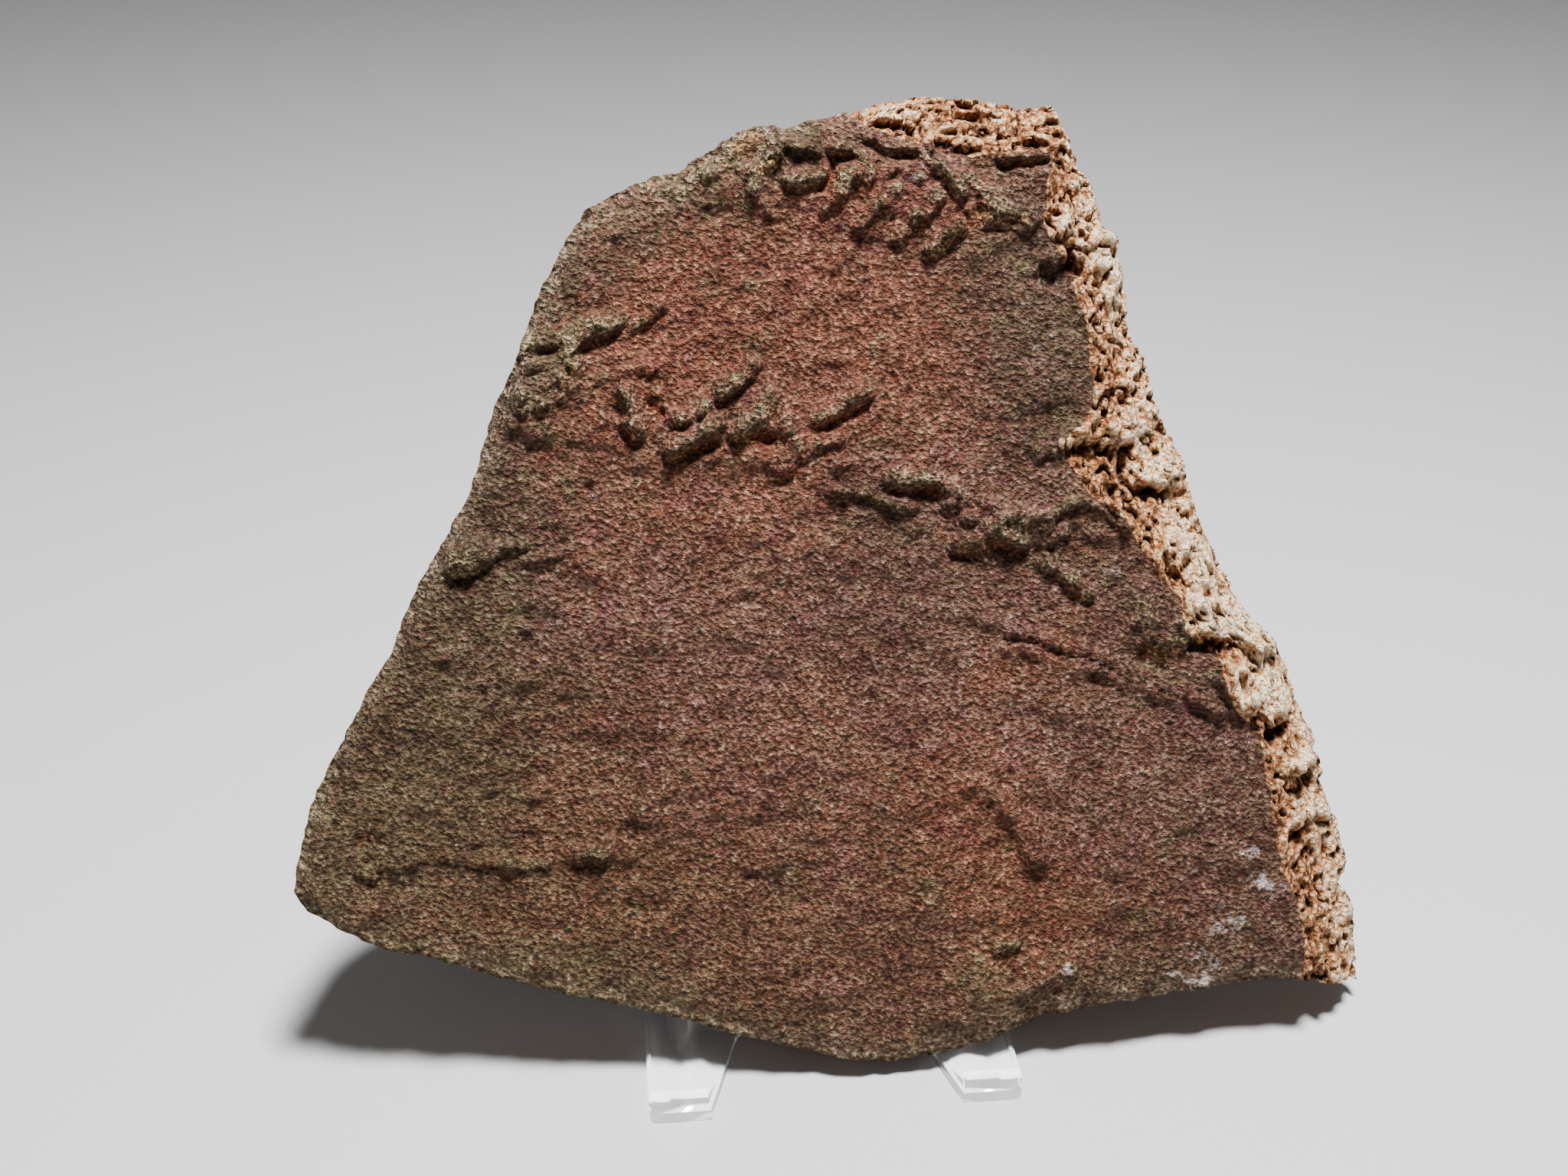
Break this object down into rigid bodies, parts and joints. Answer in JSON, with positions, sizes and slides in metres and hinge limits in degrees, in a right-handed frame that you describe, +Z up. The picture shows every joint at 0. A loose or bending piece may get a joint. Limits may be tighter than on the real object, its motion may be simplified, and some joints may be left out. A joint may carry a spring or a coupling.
{
  "type": "trilobite trackway fossil on an easel",
  "caption": "Thin broken sandstone slab with raised fossil tracks across its face, leaning on a small clear plastic easel.",
  "frame": {"origin": "on the surface the easel stands on, under the middle of the whole piece's box", "axes": "+Z up, +X to the right along the slab's width, -Y the way the slab's face looks"},
  "size_m": [0.1412, 0.0676, 0.114],
  "materials": {
    "sandstone": "fine-grained red-brown sandstone, matt, paler where it is broken",
    "clear_plastic": "clear polished plastic"
  },
  "bodies": {
    "root": {"trackway_slab": "sandstone", "easel": "clear_plastic"}
  },
  "joints": []
}
